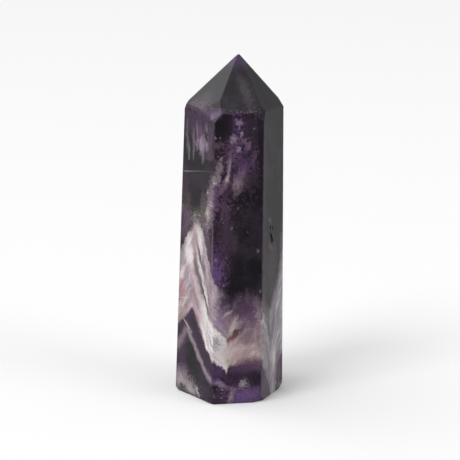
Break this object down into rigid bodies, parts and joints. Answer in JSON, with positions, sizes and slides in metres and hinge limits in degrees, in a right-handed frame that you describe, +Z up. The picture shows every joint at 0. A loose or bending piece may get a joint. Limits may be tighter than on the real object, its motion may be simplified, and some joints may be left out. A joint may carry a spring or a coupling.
{
  "type": "chevron amethyst point",
  "caption": "Free-standing polished hexagonal quartz point of banded chevron amethyst, sawn flat at the foot, with a faceted pyramid tip and nipped corners.",
  "frame": {"origin": "middle of the foot's bounding rectangle, on the surface it stands on", "axes": "+Z up from the foot to the tip, along the stone's length; -Y is the side with the widest wall in view, +X to its right"},
  "size_m": [0.0269, 0.0261, 0.086],
  "materials": {
    "chevron_amethyst": "polished stone, almost opaque: dark violet quartz with milky white and lilac zigzag bands and a little rust-red staining"
  },
  "bodies": {
    "root": {"amethyst_point": "chevron_amethyst"}
  },
  "joints": []
}
